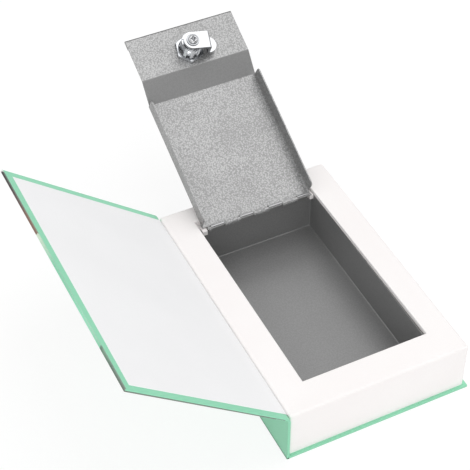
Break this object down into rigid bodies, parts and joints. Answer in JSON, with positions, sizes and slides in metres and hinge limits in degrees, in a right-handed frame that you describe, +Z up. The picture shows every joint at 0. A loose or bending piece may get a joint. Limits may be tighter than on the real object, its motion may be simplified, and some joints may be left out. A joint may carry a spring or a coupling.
{
  "type": "book diversion safe",
  "caption": "Dummy hardback book whose cover opens on a white page block with a steel cash box, hinged steel lid and cam lock.",
  "frame": {"origin": "centre of the back cover's bottom face, on the table", "axes": "+X from the spine to the fore edge, +Y from the tail to the head (towards the hinge of the steel lid), +Z up from the table"},
  "size_m": [0.284, 0.3655, 0.1492],
  "materials": {
    "cover_paper": "smooth printed, mint green",
    "greyboard": "raw",
    "white_paper": "matte",
    "white_shell": "matte, soft edges",
    "powder_coated_steel": "fine hammered powder coat, grey",
    "zinc_plated_steel": "bright zinc plate",
    "bright_plated_steel": "polished plate",
    "brass": "stamped"
  },
  "bodies": {
    "case": {"back_cover_wrap": "cover_paper", "back_board": "greyboard", "back_endpaper": "white_paper", "spine_wrap": "cover_paper", "spine_board": "greyboard", "spine_lining": "white_paper", "page_block": "white_shell", "steel_box": "powder_coated_steel", "hinge_pin": "zinc_plated_steel"},
    "front_cover": {"front_cover_wrap": "cover_paper", "front_board": "greyboard", "front_endpaper": "white_paper"},
    "lid": {"steel_lid": "powder_coated_steel", "lock_housing": "zinc_plated_steel", "lock_nut": "zinc_plated_steel"},
    "lock_cam": {"key_plug": "zinc_plated_steel", "wafer_1": "brass", "wafer_2": "brass", "wafer_3": "brass", "wafer_4": "brass", "wafer_5": "brass", "stop_washer": "zinc_plated_steel", "cam": "bright_plated_steel", "cam_washer": "zinc_plated_steel", "cam_screw": "bright_plated_steel"}
  },
  "joints": [
    {"name": "front_cover_hinge", "type": "hinge", "parent": "case", "child": "front_cover", "pos_m": [-0.0781, 0, 0.0473], "axis": [0, 1, 0], "range_deg": [-55, 96]},
    {"name": "lid_hinge", "type": "hinge", "parent": "case", "child": "lid", "pos_m": [0.0011, 0.089, 0.0444], "axis": [1, 0, 0], "range_deg": [0, 152.45]},
    {"name": "lock_turn", "type": "hinge", "parent": "lid", "child": "lock_cam", "pos_m": [0.0011, 0.22272, 0.12299], "axis": [0, -0.4625, 0.8866], "range_deg": [0, 90]}
  ]
}
